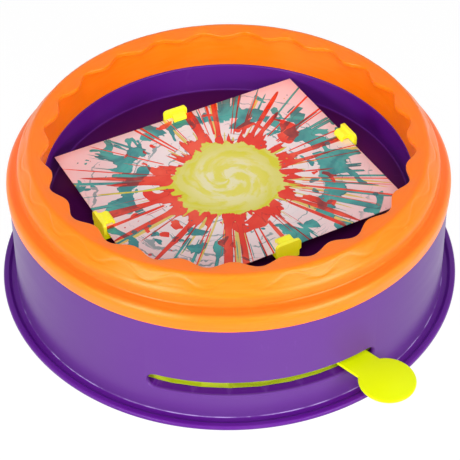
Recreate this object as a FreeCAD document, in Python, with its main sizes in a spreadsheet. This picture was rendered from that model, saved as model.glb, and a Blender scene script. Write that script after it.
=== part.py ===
import FreeCAD, Part
import math
import os
import re

import Sketcher

# A spin art machine: a round housing with a paint bowl, a turntable that carries a card in
# four clips, a removable splash guard, and a hand lever that drives the turntable through a
# step-up gear and a one-way ratchet. Millimetres, +Z up. The origin is on the spin axis, in
# the plane that the foot stands on. The front, where the lever comes out, faces -Y. An
# azimuth here is an angle about the spin axis, from the front towards +X.

os.makedirs("parts", exist_ok=True)
Vector = FreeCAD.Vector
doc = FreeCAD.newDocument("spin_art_machine")

SIZES = {
    # housing: foot flange, wall, deck and spigot
    "foot_radius": 121.2,
    "flange_width": 7.8,
    "flange_thickness": 2.2,
    "flange_edge_round": 0.9,
    "foot_round": 2.6,
    "wall_lean": 2.0,
    "wall_thickness": 2.4,
    "deck_height": 62.2,
    "deck_thickness": 2.2,
    "spigot_height": 4.2,
    "spigot_thickness": 2.0,
    # paint bowl
    "bowl_rim_inset": 20.2,
    "bowl_crease_inset": 0.6,
    "bowl_crease_height": 45.0,
    "bowl_floor_height": 41.6,
    "bowl_floor_start": 22.0,
    "bowl_thickness": 2.2,
    "bowl_corner_round": 2.5,
    "collar_radius": 8.5,
    "collar_top": 48.0,
    # lever slot
    "slot_middle": 8.65,
    "slot_half_angle": 27.0,
    "slot_bottom": 16.6,
    "slot_width": 9.4,
    "slot_depth": 9.2,
    "ledge_thickness": 2.0,
    "ledge_half_angle": 36.0,
    # splash guard
    "guard_skirt_inset": 1.3,
    "guard_roll_inset": 1.1,
    "guard_roll_height": 7.0,
    "guard_valley_inset": 6.6,
    "guard_valley_height": 11.4,
    "guard_shoulder_inset": 8.0,
    "guard_shoulder_height": 16.8,
    "guard_brow_inset": 13.4,
    "guard_brow_height": 23.8,
    "guard_crown_inset": 15.7,
    "guard_crown_height": 25.8,
    "guard_edge_round": 3.0,
    "guard_lip_inset": 23.45,
    "guard_lip_drop": 2.6,
    "guard_wave_count": 24,
    "guard_wave": 2.15,
    "guard_wave_azimuth": 1.1,
    "guard_thickness": 2.0,
    "guard_seat_gap": 0.25,
    # base plate
    "base_gap": 1.0,
    "base_recess": 0.8,
    "base_thickness": 2.4,
    "pillar_radius": 4.0,
    "pillar_pilot_radius": 1.25,
    "pillar_foot": 6.0,
    "front_pillar_circle": 84.0,
    "front_pillar_spread": 14.0,
    "rear_pillar_circle": 100.0,
    "screw_clearance_radius": 1.7,
    "screw_counterbore_gap": 0.4,
    "screw_boss_wall": 2.0,
    "screw_head_radius": 3.2,
    "screw_head_height": 1.8,
    "screw_length": 12.0,
    "pilot_spare": 2.0,
    "screw_cross_depth": 1.0,
    "screw_cross_length": 1.3,
    "screw_cross_width": 0.4,
    "post_radius": 10.0,
    "post_top": 22.4,
    "post_shoulder_radius": 12.0,
    "post_shoulder_top": 13.2,
    # spindle and bearings
    "spindle_radius": 3.0,
    "spindle_bottom": 3.9,
    "spindle_top": 55.0,
    "running_gap": 0.05,
    "seat_gap": 0.3,
    "bush_radius": 5.0,
    "lower_bush_length": 10.0,
    "upper_bush_length": 9.0,
    "bush_flange_radius": 7.0,
    "bush_flange_thickness": 1.2,
    "clip_groove_height": 35.0,
    "clip_groove_radius": 2.3,
    "clip_thickness": 0.8,
    "clip_outer_radius": 5.4,
    "clip_mouth": 3.7,
    "washer_radius": 11.5,
    "washer_thickness": 0.6,
    # lever
    "lever_plate_bottom": 18.7,
    "lever_plate_thickness": 3.0,
    "lever_hub_radius": 15.5,
    "lever_hub_wall": 5.5,
    "window_clearance": 1.2,
    "cut_margin": 1.0,
    "lever_rim_inset": 6.0,
    "lever_rim_drop": 1.8,
    "lever_rim_thickness": 2.2,
    "lever_half_angle": 55.5,
    "lever_azimuth": 33.0,
    "neck_azimuth": 46.4,
    "neck_width": 17.3,
    "neck_root": 12.0,
    "paddle_radius": 14.8,
    "paddle_reach": 17.9,
    "paddle_azimuth": 34.66,
    "pillar_window_gap": 1.0,
    "pillar_window_angle": 3.5,
    "lever_swing": 47.5,
    # gears, in teeth of one module
    "gear_module": 1.0,
    "pressure_angle": 20.0,
    "gear_addendum": 0.95,
    "gear_dedendum": 1.25,
    "arc_addendum": 0.9,
    "arc_teeth": 96,
    "pinion_teeth": 16,
    "wheel_teeth": 54,
    "clutch_teeth": 26,
    "gear_backlash": 0.3,
    "axle_radius": 2.0,
    "axle_bottom": 4.6,
    "axle_top": 36.0,
    "axle_end_gap": 0.5,
    "axle_boss_radius": 5.0,
    "axle_boss_top": 16.6,
    "axle_socket_bottom": 29.0,
    "pinion_bottom": 16.9,
    "wheel_bottom": 23.8,
    "wheel_thickness": 3.8,
    "clutch_bottom": 23.3,
    "clutch_gear_height": 4.9,
    "drum_radius": 13.5,
    "drum_height": 5.0,
    "ratchet_tip_radius": 9.6,
    "ratchet_root_radius": 11.2,
    "ratchet_teeth": 12,
    "pawl_count": 3,
    "pawl_hub_radius": 5.2,
    "pawl_thickness": 1.2,
    "pawl_tip_angle": 2.0,
    "pawl_tip_gap": 0.6,
    "pawl_bend_radius": 8.0,
    "pawl_bend_angle": 28.0,
    "pawl_root_angle": 80.0,
    "pawl_root_overlap": 0.4,
    # lever return spring
    "spring_wire_radius": 0.7,
    "spring_coil_radius": 13.6,
    "spring_pitch": 1.8,
    "spring_turns": 4.25,
    "spring_leg": 7.5,
    "spring_lug_radius": 1.8,
    "spring_lug_circle": 18.0,
    "spring_lug_bottom": 10.2,
    "spring_peg_height": 4.0,
    # turntable
    "turntable_azimuth": 118.2,
    "turntable_top": 57.8,
    "turntable_disc_radius": 42.0,
    "turntable_plate": 2.6,
    "turntable_hub_radius": 7.6,
    "turntable_hub_bottom": 49.6,
    "arm_width": 18.0,
    "arm_height": 7.6,
    "arm_end_inset": 5.0,
    "hub_screw_radius": 1.4,
    "hub_screw_head_radius": 3.0,
    "hub_screw_head_height": 1.6,
    "hub_screw_length": 9.0,
    # card and its clips
    "card_length": 152.4,
    "card_width": 127.0,
    "card_thickness": 0.55,
    "clip_width": 14.5,
    "clip_plate": 1.8,
    "clip_rise": 6.0,
    "clip_shoulder": 4.2,
    "clip_hood_width": 8.6,
    "clip_hood_round": 2.4,
    "clip_reach": 6.8,
    "clip_gap": 0.3,
    "tongue_bottom": 52.0,
    "tongue_width": 12.0,
    "tongue_height": 2.0,
    "tongue_length": 20.0,
}

sheet = doc.addObject("Spreadsheet::Sheet", "Sizes")
for row, (alias, size) in enumerate(SIZES.items(), start=1):
    sheet.set(f"A{row}", alias)
    sheet.set(f"B{row}", str(size))
    sheet.setAlias(f"B{row}", alias)
doc.recompute()


# ---------------------------------------------------------------- the sheet and the sketches


def linked(expression):
    """The expression with every size's name pointed at the sheet."""
    return re.sub(r"[a-z_]+", lambda word: "Sizes." + word[0] if word[0] in SIZES else word[0], expression)


def number(expression):
    """What the expression comes to now."""
    return float(sheet.evalExpression(expression))


def new_body(label):
    body = doc.addObject("PartDesign::Body", label)
    body.Label = label
    return body


def sketch_on(body, role, height="0", turn="0", reach="0"):
    """A sketch on one of the body's own planes, turned about +Z.

    height lifts one on the level plane, and reach moves one on an upright plane outwards."""
    sketch = body.newObject("Sketcher::SketchObject", "Sketch")
    plane = next(f for f in body.Origin.OriginFeatures if f.Role == role)
    sketch.AttachmentSupport = (plane, [""])
    sketch.MapMode = "FlatFace"
    upright = Vector(0, 0, 1) if role == "XY_Plane" else Vector(0, 1, 0)
    sketch.AttachmentOffset = FreeCAD.Placement(Vector(), FreeCAD.Rotation(upright, 1))
    sketch.setExpression("AttachmentOffset.Base.x", linked(f"({reach}) * sin({turn})"))
    sketch.setExpression("AttachmentOffset.Base.z", linked(f"({height}) + ({reach}) * cos({turn})"))
    sketch.setExpression("AttachmentOffset.Rotation.Angle", linked(turn))
    return sketch


def tie(sketch, edge, end, x, y):
    """Hold one end of an edge (or a circle's centre) at x, y of the sheet."""
    for kind, expression in (("DistanceX", x), ("DistanceY", y)):
        rule = Sketcher.Constraint(kind, -1, 1, edge, end, number(expression))
        index = sketch.addConstraint(rule)
        sketch.setExpression(f"Constraints[{index}]", linked(expression))


def outline(sketch, corners):
    """A closed loop of straight edges through the corners, each a pair of expressions."""
    points = [Vector(number(x), number(y), 0) for x, y in corners]
    first = sketch.GeometryCount
    sketch.addGeometry([Part.LineSegment(a, b) for a, b in zip(points, points[1:] + points[:1])])
    for i, (x, y) in enumerate(corners):
        follower = first + (i + 1) % len(corners)
        sketch.addConstraint(Sketcher.Constraint("Coincident", first + i, 2, follower, 1))
        tie(sketch, first + i, 1, x, y)


def circle(sketch, radius, x="0", y="0"):
    edge = sketch.addGeometry(Part.Circle(Vector(number(x), number(y), 0), Vector(0, 0, 1), number(radius)))
    index = sketch.addConstraint(Sketcher.Constraint("Radius", edge, number(radius)))
    sketch.setExpression(f"Constraints[{index}]", linked(radius))
    tie(sketch, edge, 3, x, y)


# ---------------------------------------------------------------- features


def feature(body, kind, sketch, **links):
    made = body.newObject("PartDesign::" + kind, kind)
    made.Profile = sketch
    for name, value in links.items():
        setattr(made, name, value)
    return made


def revolve(body, corners, kind="Revolution", middle="0", half_angle=None):
    """Turn an outline of (radius, height) about the spin axis: all round, or a sector."""
    sketch = sketch_on(body, "XZ_Plane", turn=f"{middle} - 90")
    outline(sketch, corners)
    made = feature(body, kind, sketch, ReferenceAxis=(sketch, ["V_Axis"]), Angle=360.0)
    if half_angle:
        made.Midplane = True
        made.setExpression("Angle", linked(f"2 * {half_angle}"))
    return made


def band(body, inner, outer, bottom, top, **options):
    """A ring, or a sector of one, with a rectangular section."""
    corners = [(inner, bottom), (outer, bottom), (outer, top), (inner, top)]
    return revolve(body, corners, **options)


def pad(body, sketch, length):
    made = feature(body, "Pad", sketch)
    made.setExpression("Length", linked(length))
    return made


def pocket_up(body, sketch, length):
    """Cut upwards from the sketch's plane."""
    before = solid_volume(body)
    made = feature(body, "Pocket", sketch, Reversed=True)
    made.setExpression("Length", linked(length))
    doc.recompute()
    if solid_volume(body) >= before:
        raise RuntimeError(f"a pocket in {body.Label} cuts nothing")
    return made


def solid_volume(body):
    doc.recompute()
    return body.Shape.Volume


def round_pad(body, radius, bottom, top, x="0", y="0"):
    sketch = sketch_on(body, "XY_Plane", bottom)
    circle(sketch, radius, x, y)
    return pad(body, sketch, f"({top}) - ({bottom})")


def round_pocket(body, radius, bottom, top, x="0", y="0"):
    sketch = sketch_on(body, "XY_Plane", bottom)
    circle(sketch, radius, x, y)
    return pocket_up(body, sketch, f"({top}) - ({bottom})")


def round_edges(body, radius, height, fillet):
    """Fillet the circular edges of this radius that lie at this height."""
    near = 0.01
    doc.recompute()
    base = body.Tip
    names = []
    for i, edge in enumerate(base.Shape.Edges, start=1):
        is_circle = isinstance(edge.Curve, Part.Circle)
        if is_circle and abs(edge.Curve.Radius - number(radius)) < near:
            if abs(edge.Curve.Center.z - number(height)) < near:
                names.append(f"Edge{i}")
    if not names:
        raise RuntimeError(f"{body.Label} has no edge of radius {radius} at {height}")
    made = body.newObject("PartDesign::Fillet", "Fillet")
    made.Base = (base, names)
    made.setExpression("Radius", linked(fillet))
    return made


def shape_node(label, shape):
    """A sub-part whose shape comes from Part's own functions."""
    made = doc.addObject("Part::Feature", label)
    made.Label = label
    made.Shape = shape
    return made


def cut(label, base, tool):
    made = doc.addObject("Part::Cut", label)
    made.Base = base
    made.Tool = tool
    made.Label = label
    return made


def polar(circle_radius, azimuth):
    """Expressions for x and y at an azimuth on a circle."""
    return f"({circle_radius}) * sin({azimuth})", f"-({circle_radius}) * cos({azimuth})"


# ---------------------------------------------------------------- places that pieces share

AXLE_CIRCLE = "(arc_teeth - pinion_teeth) * gear_module / 2"
AXLE_AZIMUTH = "slot_middle"
AXLE_XY = polar(AXLE_CIRCLE, AXLE_AZIMUTH)
LEVER_TOP = "lever_plate_bottom + lever_plate_thickness"
BASE_TOP = "base_recess + base_thickness"
SCREW_SEAT = "pillar_foot - base_thickness"
HUB_SCREW_SEAT = "turntable_top - hub_screw_head_height"
SCREW_WELL = "screw_head_radius + screw_counterbore_gap"
FRONT_PILLARS = [
    polar("front_pillar_circle", "slot_middle - front_pillar_spread"),
    polar("front_pillar_circle", "slot_middle + front_pillar_spread"),
]
REAR_PILLARS = [polar("rear_pillar_circle", f"slot_middle + {turn}") for turn in (105, 155, 205, 255)]
PILLARS = FRONT_PILLARS + REAR_PILLARS
FLANGE = "foot_radius + flange_width"
BOWL_RIM = "foot_radius - bowl_rim_inset"
BOWL_CREASE = f"{BOWL_RIM} - bowl_crease_inset"
GUARD_TOP = "deck_height + guard_crown_height"
POINTS_PER_WAVE = 8
LEG_LEAD = "asin((spring_wire_radius + spring_lug_radius + running_gap) / spring_lug_circle) / 1 deg"
SPRING_START = f"(lever_azimuth - 90 - {LEG_LEAD} - 360 * spring_turns)"
LEVER_RIM = "foot_radius - lever_rim_inset"
PADDLE_CIRCLE = "foot_radius + paddle_reach"
WALL_DRAFT = "wall_lean / (deck_height - flange_thickness)"
TABLE_TURN = "turntable_azimuth - 90"


# ---------------------------------------------------------------- housing


def housing():
    """One moulding: foot flange, wall, deck, spigot and paint bowl, open underneath."""
    body = new_body("housing")
    inner_foot = "foot_radius - wall_thickness"
    inner_top = "foot_radius - wall_lean - wall_thickness"
    spigot_outer = "foot_radius - guard_skirt_inset - guard_thickness - guard_seat_gap"
    revolve(body, [
        (FLANGE, "0"),
        (FLANGE, "flange_thickness"),
        ("foot_radius", "flange_thickness"),
        ("foot_radius - wall_lean", "deck_height"),
        (spigot_outer, "deck_height"),
        (spigot_outer, "deck_height + spigot_height"),
        (f"{spigot_outer} - spigot_thickness", "deck_height + spigot_height"),
        (f"{spigot_outer} - spigot_thickness", "deck_height"),
        (BOWL_RIM, "deck_height"),
        (BOWL_CREASE, "bowl_crease_height"),
        ("bowl_floor_start", "bowl_floor_height"),
        ("collar_radius", "bowl_floor_height"),
        ("collar_radius", "collar_top"),
        ("bush_radius", "collar_top"),
        ("bush_radius", "collar_top - upper_bush_length - bowl_thickness"),
        ("collar_radius", "collar_top - upper_bush_length - bowl_thickness"),
        ("collar_radius", "bowl_floor_height - bowl_thickness"),
        ("bowl_floor_start", "bowl_floor_height - bowl_thickness"),
        (f"{BOWL_CREASE} + bowl_thickness", "bowl_crease_height - bowl_thickness"),
        (f"{BOWL_RIM} + bowl_thickness", "deck_height - deck_thickness"),
        (inner_top, "deck_height - deck_thickness"),
        (inner_foot, "flange_thickness"),
        (inner_foot, "0"),
    ])
    round_edges(body, "foot_radius", "flange_thickness", "foot_round")
    round_edges(body, FLANGE, "flange_thickness", "flange_edge_round")
    round_edges(body, BOWL_CREASE, "bowl_crease_height", "bowl_corner_round")
    cut_slot(body)
    for x, y in PILLARS:
        floor = bowl_underside(x, y)
        round_pad(body, "pillar_radius", "pillar_foot", f"{floor} + bowl_thickness / 2", x, y)
        pilot_end = f"{SCREW_SEAT} + screw_length + pilot_spare"
        round_pocket(body, "pillar_pilot_radius", "pillar_foot", pilot_end, x, y)
    floor = bowl_underside(*AXLE_XY)
    round_pad(body, "axle_boss_radius", "axle_socket_bottom", f"{floor} + bowl_thickness / 2", *AXLE_XY)
    round_pocket(body, "axle_radius", "axle_socket_bottom", "axle_top + axle_end_gap", *AXLE_XY)
    return body


def bowl_underside(x, y):
    """Height of the conical floor's underside at a point, as an expression."""
    run = f"({BOWL_CREASE} + bowl_thickness - bowl_floor_start)"
    slope = f"(bowl_crease_height - bowl_floor_height) / {run}"
    rise = f"(sqrt(({x}) * ({x}) + ({y}) * ({y})) - bowl_floor_start) * {slope}"
    return f"bowl_floor_height - bowl_thickness + {rise}"


def cut_slot(body):
    """The lever's curved slot, with half-round ends, and the ledge behind its lower edge."""
    slot_top = "slot_bottom + slot_width"
    middle = "slot_bottom + slot_width / 2"
    band(body, "foot_radius - slot_depth", FLANGE, "slot_bottom", slot_top,
         kind="Groove", middle="slot_middle", half_angle="slot_half_angle")
    for side in ("-", "+"):
        sketch = sketch_on(body, "YZ_Plane", turn=f"slot_middle {side} slot_half_angle - 90")
        circle(sketch, "slot_width / 2", "0", middle)
        pocket_up(body, sketch, FLANGE)
    wall_here = f"foot_radius - wall_thickness / 2 - {WALL_DRAFT} * slot_bottom"
    band(body, "foot_radius - slot_depth", wall_here, "slot_bottom - ledge_thickness", "slot_bottom",
         middle="slot_middle", half_angle="ledge_half_angle")


# ---------------------------------------------------------------- splash guard


def splash_guard():
    """Hollow ring, open underneath, with rolled sides and a wavy lip over the bowl."""
    body = new_body("guard_ring")
    bottom = "deck_height + guard_seat_gap"
    inner = f"{BOWL_RIM} + guard_thickness"
    ridges = ("roll", "valley", "shoulder", "brow", "crown")
    outside = [(f"foot_radius - guard_{name}_inset", f"deck_height + guard_{name}_height") for name in ridges]
    half = "guard_thickness / 2"
    inside = [(f"{radius} - guard_thickness", f"{height} - {half}") for radius, height in outside]
    crown_under = (f"foot_radius - guard_crown_inset", f"{GUARD_TOP} - guard_thickness")
    revolve(body, [
        ("foot_radius - guard_skirt_inset", bottom),
        *outside,
        (BOWL_RIM, f"{GUARD_TOP} - guard_lip_drop"),
        (BOWL_RIM, bottom),
        (inner, bottom),
        (inner, f"{GUARD_TOP} - guard_lip_drop - guard_thickness"),
        crown_under,
        *reversed(inside[:-1]),
        ("foot_radius - guard_skirt_inset - guard_thickness", bottom),
    ])
    for radius, height in outside[:-1]:
        round_edges(body, radius, height, "guard_edge_round")
    return wavy_lip(body)


def wavy_lip(ring):
    """The ring with its lip: a thin flat annulus whose inner edge is a sine wave."""
    count = int(number("guard_wave_count")) * POINTS_PER_WAVE
    mean = number("foot_radius - guard_lip_inset")
    points = []
    for i in range(count):
        turn = math.radians(number("guard_wave_azimuth")) + 2 * math.pi * i / count
        radius = mean - number("guard_wave") * math.cos(2 * math.pi * i / POINTS_PER_WAVE)
        points.append(Vector(radius * math.sin(turn), -radius * math.cos(turn), 0))
    edge = Part.BSplineCurve()
    edge.interpolate(points, PeriodicFlag=True)
    outer = Part.Circle(Vector(), Vector(0, 0, 1), number(f"{BOWL_RIM} + guard_thickness / 2"))
    loops = [Part.Wire(outer.toShape()), Part.Wire(edge.toShape())]
    lip_face = Part.makeFace(loops, "Part::FaceMakerBullseye")
    lip = shape_node("guard_lip", lip_face.extrude(Vector(0, 0, number("guard_thickness"))))
    lip.Placement.Base.z = number(f"{GUARD_TOP} - guard_lip_drop - guard_thickness")
    made = doc.addObject("Part::Fuse", "splash_guard")
    made.Base = ring
    made.Tool = lip
    made.Label = "splash_guard"
    return made


# ---------------------------------------------------------------- base plate and its screws


def base_plate():
    """Bottom cover: a disc with the bearing post, the axle boss and six screw bosses."""
    body = new_body("base_plate")
    plate_radius = "foot_radius - wall_thickness - base_gap"
    round_pad(body, plate_radius, "base_recess", BASE_TOP)
    round_pad(body, "post_shoulder_radius", BASE_TOP, "post_shoulder_top")
    round_pad(body, "post_radius", "post_shoulder_top", "post_top")
    round_pocket(body, "spindle_radius + running_gap", "spindle_bottom - seat_gap", "post_top")
    round_pocket(body, "bush_radius", "post_top - lower_bush_length", "post_top")
    round_pad(body, "axle_boss_radius", BASE_TOP, "axle_boss_top", *AXLE_XY)
    round_pocket(body, "axle_radius", "axle_bottom", "axle_boss_top", *AXLE_XY)
    for x, y in PILLARS:
        round_pad(body, f"{SCREW_WELL} + screw_boss_wall", BASE_TOP, "pillar_foot", x, y)
        round_pocket(body, SCREW_WELL, "base_recess", SCREW_SEAT, x, y)
        round_pocket(body, "screw_clearance_radius", SCREW_SEAT, "pillar_foot", x, y)
    peg = polar("spring_lug_circle", f"{SPRING_START} + 90 - {LEG_LEAD}")
    round_pad(body, "spring_lug_radius", BASE_TOP, f"{BASE_TOP} + spring_peg_height", *peg)
    return body


def pan_head_screw(label, x, y, seat, direction, head, shank):
    """A cross-headed screw, driven in the direction given; head and shank are (radius, length)."""
    body = new_body(label)
    head_radius, head_height = head
    shank_radius, shank_length = shank
    face = f"{seat} - ({direction}) * {head_height}"
    stretch(body, head_radius, face, seat, direction, x, y)
    stretch(body, shank_radius, seat, f"{seat} + ({direction}) * ({shank_length})", direction, x, y)
    bar = ("screw_cross_length", "screw_cross_width")
    for length, width in (bar, bar[::-1]):
        sketch = sketch_on(body, "XY_Plane", face)
        rectangle(sketch, f"{x} - {length}", f"{x} + {length}", f"{y} - {width}", f"{y} + {width}")
        cross = feature(body, "Pocket", sketch, Reversed=direction == "1")
        cross.setExpression("Length", linked("screw_cross_depth"))
    return body


def stretch(body, radius, start, end, direction, x, y):
    """A round pad between two heights, given in the direction of travel."""
    bottom, top = (start, end) if direction == "1" else (end, start)
    round_pad(body, radius, bottom, top, x, y)


def base_screws():
    """Six screws, driven up through the base plate into the housing's pillars."""
    head = ("screw_head_radius", "screw_head_height")
    shank = ("pillar_pilot_radius", "screw_length")
    screws = enumerate(PILLARS, start=1)
    return [pan_head_screw(f"base_screw_{i}", x, y, SCREW_SEAT, "1", head, shank) for i, (x, y) in screws]


# ---------------------------------------------------------------- spindle and bearings


def spindle():
    """Steel shaft with a groove for its clip and a tapped top end."""
    body = new_body("spindle")
    round_pad(body, "spindle_radius", "spindle_bottom", "spindle_top")
    band(body, "clip_groove_radius", "2 * spindle_radius", "clip_groove_height",
         "clip_groove_height + clip_thickness + 2 * running_gap", kind="Groove")
    round_pocket(body, "hub_screw_radius", "spindle_top - hub_screw_length", "spindle_top")
    return body


def lower_bush():
    """Plain bronze bush in the top of the bearing post."""
    body = new_body("lower_bush")
    band(body, "spindle_radius + running_gap", "bush_radius", "post_top - lower_bush_length", "post_top")
    return body


def upper_bush():
    """Flanged bronze bush in the bowl's collar."""
    body = new_body("upper_bush")
    bore = "spindle_radius + running_gap"
    revolve(body, [
        (bore, "collar_top - upper_bush_length"),
        ("bush_radius", "collar_top - upper_bush_length"),
        ("bush_radius", "collar_top"),
        ("bush_flange_radius", "collar_top"),
        ("bush_flange_radius", "collar_top + bush_flange_thickness"),
        (bore, "collar_top + bush_flange_thickness"),
    ])
    return body


def spindle_clip():
    """Open retaining ring snapped into the spindle's groove."""
    body = new_body("spindle_clip")
    bottom = "clip_groove_height + running_gap"
    band(body, "clip_groove_radius", "clip_outer_radius", bottom, f"{bottom} + clip_thickness")
    sketch = sketch_on(body, "XY_Plane", bottom)
    rectangle(sketch, "0", "2 * clip_outer_radius", "-clip_mouth / 2", "clip_mouth / 2")
    pocket_up(body, sketch, "clip_thickness")
    return body


def thrust_washer():
    """Washer on the post's end, over the lever's hub and under the clutch gear."""
    body = new_body("thrust_washer")
    band(body, "spindle_radius + running_gap", "washer_radius", "post_top", "post_top + washer_thickness")
    return body


def rectangle(sketch, low_x, high_x, low_y, high_y):
    outline(sketch, [(low_x, low_y), (high_x, low_y), (high_x, high_y), (low_x, high_y)])


# ---------------------------------------------------------------- gears


def at(radius, turn):
    """The point at a radius and a standard angle in radians."""
    return Vector(radius * math.cos(turn), radius * math.sin(turn), 0)


def arc(radius, start, end):
    return Part.Arc(at(radius, start), at(radius, (start + end) / 2), at(radius, end)).toShape()


def gear_disc(teeth, tip, root, half_tooth, middle, height):
    """A spur gear's solid with involute teeth, one of them centred on middle.

    half_tooth is half a tooth's angle at the pitch circle. Each flank is the arc through
    three points of its involute."""
    pressure = math.radians(number("pressure_angle"))
    pitch_radius = teeth * number("gear_module") / 2
    base = pitch_radius * math.cos(pressure)
    start = max(base, root)

    def spread(radius):
        roll = math.acos(min(1, base / radius))
        return half_tooth + math.tan(pressure) - pressure - math.tan(roll) + roll

    radii = (start, (start + tip) / 2, tip)
    edges = []
    for i in range(teeth):
        centre = middle + 2 * math.pi * i / teeth
        following = centre + 2 * math.pi / teeth
        right = [at(r, centre - spread(r)) for r in radii]
        left = [at(r, centre + spread(r)) for r in radii]
        if root < start:
            edges.append(Part.makeLine(at(root, centre - spread(start)), right[0]))
        edges.append(Part.Arc(*right).toShape())
        edges.append(arc(tip, centre - spread(tip), centre + spread(tip)))
        edges.append(Part.Arc(*reversed(left)).toShape())
        if root < start:
            edges.append(Part.makeLine(left[0], at(root, centre + spread(start))))
        edges.append(arc(root, centre + spread(start), following - spread(start)))
    face = Part.Face(Part.Wire(edges))
    return face.extrude(Vector(0, 0, height))


def spur_gear(teeth_size, middle, bottom, height):
    """An outside gear of the named tooth count, thinned by half the backlash."""
    teeth = int(number(teeth_size))
    pitch_radius = teeth * number("gear_module") / 2
    half_tooth = math.pi / (2 * teeth) - number("gear_backlash / 4") / pitch_radius
    tip = pitch_radius + number("gear_module * gear_addendum")
    root = pitch_radius - number("gear_module * gear_dedendum")
    gear = gear_disc(teeth, tip, root, half_tooth, middle, number(height))
    gear.translate(Vector(0, 0, number(bottom)))
    return gear


def standard(azimuth):
    """An azimuth's expression as a standard angle in radians."""
    return math.radians(number(azimuth) - 90)


def compound_gear():
    """Pinion driven by the lever's toothed arc, with the wheel that drives the clutch gear."""
    outwards = standard(AXLE_AZIMUTH)
    wheel_top = "wheel_bottom + wheel_thickness"
    pinion = spur_gear("pinion_teeth", outwards, "pinion_bottom", "wheel_bottom - pinion_bottom")
    wheel = spur_gear("wheel_teeth", outwards + math.pi, "wheel_bottom", "wheel_thickness")
    hub_height = number(f"axle_socket_bottom - seat_gap - ({wheel_top})")
    hub = Part.makeCylinder(number("axle_boss_radius"), hub_height, Vector(0, 0, number(wheel_top)))
    bore = Part.makeCylinder(number("axle_radius + running_gap"), number("axle_top"))
    gear = pinion.fuse([wheel, hub]).cut(bore)
    gear.translate(Vector(number(AXLE_XY[0]), number(AXLE_XY[1]), 0))
    return shape_node("compound_gear", gear.removeSplitter())


def gear_axle():
    """Steel pin pressed into the base plate, with its top end in the housing."""
    body = new_body("gear_axle")
    round_pad(body, "axle_radius", "axle_bottom", "axle_top", *AXLE_XY)
    return body


def clutch_gear():
    """Gear that runs on the spindle, with a drum of inner ratchet teeth on top."""
    space = standard(AXLE_AZIMUTH) + math.pi / number("clutch_teeth")
    gear = spur_gear("clutch_teeth", space, "clutch_bottom", "clutch_gear_height")
    drum_bottom = number("clutch_bottom + clutch_gear_height")
    drum = Part.makeCylinder(number("drum_radius"), number("drum_height"), Vector(0, 0, drum_bottom))
    pocket = Part.Face(Part.Wire(ratchet_teeth())).extrude(Vector(0, 0, number("drum_height")))
    pocket.translate(Vector(0, 0, drum_bottom))
    bore = Part.makeCylinder(number("spindle_radius + running_gap"), drum_bottom)
    return shape_node("clutch_gear", gear.fuse(drum.cut(pocket)).cut(bore).removeSplitter())


def ratchet_teeth():
    """Saw-tooth outline: each steep face is followed by a pocket that narrows to the next one."""
    count = int(number("ratchet_teeth"))
    corners = []
    for i in range(count):
        turn = 2 * math.pi * i / count
        corners.append(at(number("ratchet_tip_radius"), turn))
        corners.append(at(number("ratchet_root_radius"), turn))
    return [Part.makeLine(a, b) for a, b in zip(corners, corners[1:] + corners[:1])]


def pawl_carrier():
    """Hub pressed on the spindle, with springy arms whose ends bear on the steep ratchet faces."""
    height = number("drum_height - 2 * seat_gap")
    hub = number("pawl_hub_radius")
    tip = number("ratchet_root_radius - pawl_tip_gap")
    bend = number("pawl_bend_radius")
    root = number("pawl_hub_radius - pawl_root_overlap")
    wall = number("pawl_thickness")
    carrier = Part.makeCylinder(hub, height)
    for i in range(int(number("pawl_count"))):
        turns = [number(f"pawl_{place}_angle + {i} * 360 / pawl_count") for place in ("tip", "bend", "root")]
        turns = [math.radians(turn) for turn in turns]
        outer = [at(radius, turn) for radius, turn in zip((tip, bend, root), turns)]
        inner = [at(radius - wall, turn) for radius, turn in zip((tip, bend, root), turns)]
        edges = [
            Part.Arc(*outer).toShape(),
            Part.makeLine(outer[2], inner[2]),
            Part.Arc(*reversed(inner)).toShape(),
            Part.makeLine(inner[0], outer[0]),
        ]
        carrier = carrier.fuse(Part.Face(Part.Wire(edges)).extrude(Vector(0, 0, height)))
    carrier = carrier.cut(Part.makeCylinder(number("spindle_radius"), height))
    carrier.translate(Vector(0, 0, number("clutch_bottom + clutch_gear_height + seat_gap")))
    return shape_node("pawl_carrier", carrier.removeSplitter())


# ---------------------------------------------------------------- lever and its spring


def lever():
    """One moulding: hub, toothed sector plate, rim behind the slot, slanted neck and paddle."""
    body = new_body("lever_blank")
    bottom = "lever_plate_bottom"
    round_pad(body, "lever_hub_radius", "post_shoulder_top + seat_gap", "post_top - seat_gap")
    sector = {"middle": "lever_azimuth", "half_angle": "lever_half_angle"}
    band(body, "post_radius + lever_hub_wall / 2", LEVER_RIM, bottom, LEVER_TOP, **sector)
    rim_inner = f"{LEVER_RIM} - lever_rim_thickness"
    band(body, rim_inner, LEVER_RIM, f"{bottom} - lever_rim_drop", bottom, **sector)
    window_half = "(pillar_radius + pillar_window_gap)"
    band(body, f"front_pillar_circle - {window_half}", f"front_pillar_circle + {window_half}",
         bottom, LEVER_TOP, kind="Groove", middle="slot_middle + lever_swing / 2",
         half_angle="(front_pillar_spread + lever_swing / 2 + pillar_window_angle)")
    sketch = sketch_on(body, "XY_Plane", bottom, turn="neck_azimuth - 90")
    side = f"({PADDLE_CIRCLE}) * sin(paddle_azimuth - neck_azimuth)"
    along = f"({PADDLE_CIRCLE}) * cos(paddle_azimuth - neck_azimuth)"
    low, high = (f"{side} {sign} neck_width / 2" for sign in "-+")
    rectangle(sketch, f"{LEVER_RIM} - neck_root", along, low, high)
    pad(body, sketch, "lever_plate_thickness")
    round_pad(body, "paddle_radius", bottom, LEVER_TOP, *polar(PADDLE_CIRCLE, "paddle_azimuth"))
    lug = polar("spring_lug_circle", "lever_azimuth")
    round_pad(body, "spring_lug_radius", "spring_lug_bottom", bottom, *lug)
    round_pocket(body, "post_radius + running_gap", "post_shoulder_top", "post_top")
    return cut("lever", body, toothed_window())


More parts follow.
